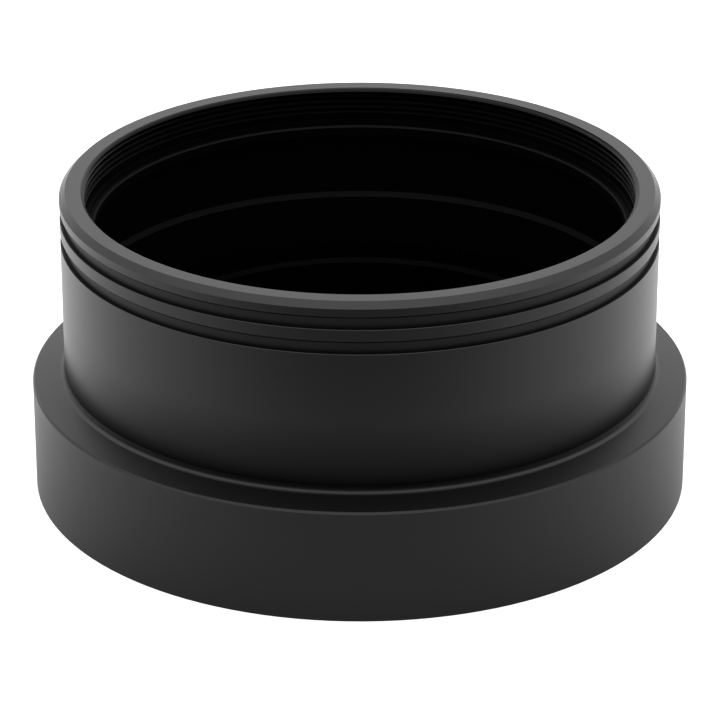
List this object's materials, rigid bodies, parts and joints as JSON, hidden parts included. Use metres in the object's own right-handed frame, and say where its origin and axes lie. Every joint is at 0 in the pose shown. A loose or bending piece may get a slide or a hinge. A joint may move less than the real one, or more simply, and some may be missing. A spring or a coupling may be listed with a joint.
{
  "type": "barlow lens",
  "caption": "Short wide black telescope lens unit: a flanged tube with a threaded mouth, two clamp grooves and a negative lens in a screw-in cell.",
  "frame": {"origin": "centre of the base's bottom face, on the optical axis", "axes": "+Z along the optical axis and out of the threaded mouth; +X through the first centring screw"},
  "size_m": [0.11, 0.11, 0.0521],
  "materials": {
    "black_anodised": "fine turned, black anodised, satin",
    "cell_anodised": "matte black anodised",
    "ring_anodised": "matte black anodised",
    "seal_rubber": "smooth black nitrile rubber",
    "coated_glass": "polished and coated",
    "foil": "thin rolled foil",
    "screw_steel": "blackened steel",
    "nylon": "matte black nylon"
  },
  "bodies": {
    "housing": {"housing": "black_anodised"},
    "cell_seal": {"cell_seal_ring": "seal_rubber"},
    "lens_cell": {"cell_barrel": "cell_anodised", "rear_element": "coated_glass", "spacer_tab_1": "foil", "spacer_tab_2": "foil", "spacer_tab_3": "foil", "front_element": "coated_glass", "centring_screws": "screw_steel"},
    "cushion": {"cushion_ring": "nylon"},
    "retaining_ring": {"retaining_ring": "ring_anodised"}
  },
  "joints": [
    {"name": "cell_travel", "type": "slide", "parent": "housing", "child": "cell_seal", "axis": [0, 0, -1], "range_m": [0, 0.00225]},
    {"name": "cell_unscrew", "type": "hinge", "parent": "cell_seal", "child": "lens_cell", "pos_m": [0, 0, 0], "axis": [0, 0, -1], "range_deg": [0, 1080]},
    {"name": "ring_travel", "type": "slide", "parent": "lens_cell", "child": "cushion", "axis": [0, 0, 1], "range_m": [0, 0.0075]},
    {"name": "ring_unscrew", "type": "hinge", "parent": "cushion", "child": "retaining_ring", "pos_m": [0, 0, 0], "axis": [0, 0, 1], "range_deg": [0, 3600]}
  ],
  "couplings": [
    {"joint": "cell_travel", "follows": "cell_unscrew", "m_per_rad": 0.00011937},
    {"joint": "ring_travel", "follows": "ring_unscrew", "m_per_rad": 0.00011937}
  ]
}
